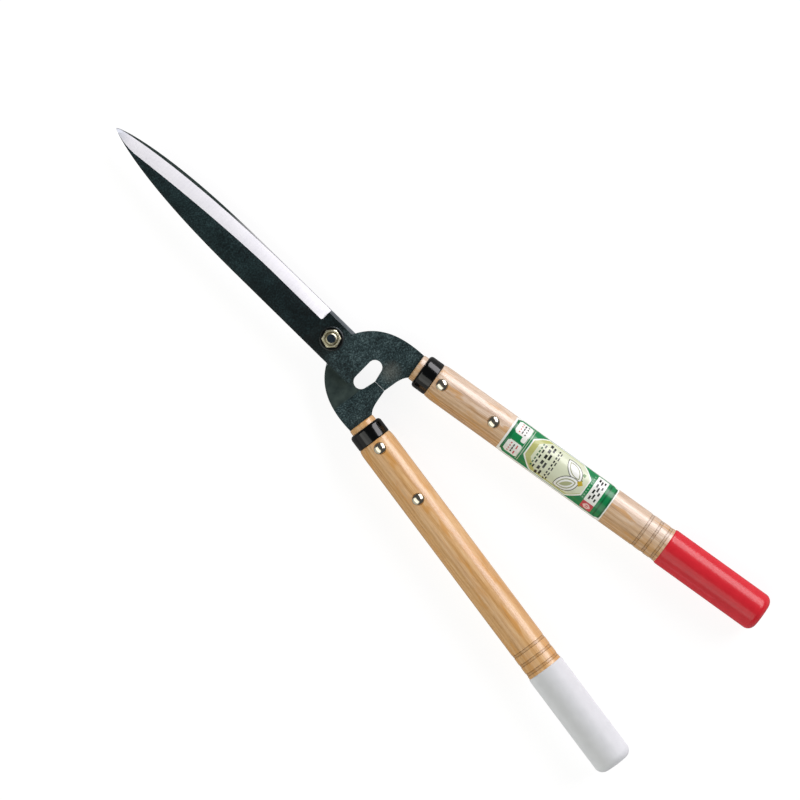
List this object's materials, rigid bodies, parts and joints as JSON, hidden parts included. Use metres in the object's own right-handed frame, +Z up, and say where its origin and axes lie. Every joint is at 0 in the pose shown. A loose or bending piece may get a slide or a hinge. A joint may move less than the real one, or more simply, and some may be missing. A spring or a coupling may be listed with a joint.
{
  "type": "hedge shears",
  "caption": "Hand hedge shears with long straight pointed blades crossing on one bolt, lobed steel arms with a hanging slot, and turned wooden handles with dipped grip ends.",
  "frame": {"origin": "on the floor under the middle of the whole tool, lying flat and closed", "axes": "+Y to the blade tips, +X to the side of the red grip, +Z up to the nut side, along the pivot bolt"},
  "size_m": [0.17, 0.5586, 0.0283],
  "materials": {
    "blade_steel": "blackened, satin",
    "zinc": "bright yellowish zinc plate",
    "black_steel": "black oxide, satin",
    "oak": "turned, clear lacquer",
    "black_enamel": "gloss enamel",
    "nickel": "polished nickel",
    "white_dip": "smooth dipped vinyl",
    "red_dip": "smooth dipped vinyl",
    "label_film": "printed film"
  },
  "bodies": {
    "left_half": {"rear_blade": "blade_steel", "pivot_bolt": "zinc", "pivot_nut": "zinc", "pivot_washer": "black_steel", "left_handle": "oak", "left_ferrule": "black_enamel", "left_rivet_upper": "nickel", "left_rivet_lower": "nickel", "left_grip": "white_dip"},
    "right_half": {"front_blade": "blade_steel", "right_handle": "oak", "right_ferrule": "black_enamel", "right_rivet_upper": "nickel", "right_rivet_lower": "nickel", "right_grip": "red_dip", "label": "label_film"}
  },
  "joints": [
    {"name": "pivot", "type": "hinge", "parent": "left_half", "child": "right_half", "pos_m": [0, 0.07003, 0.0139], "axis": [0, 0, 1], "range_deg": [0, 60]}
  ]
}
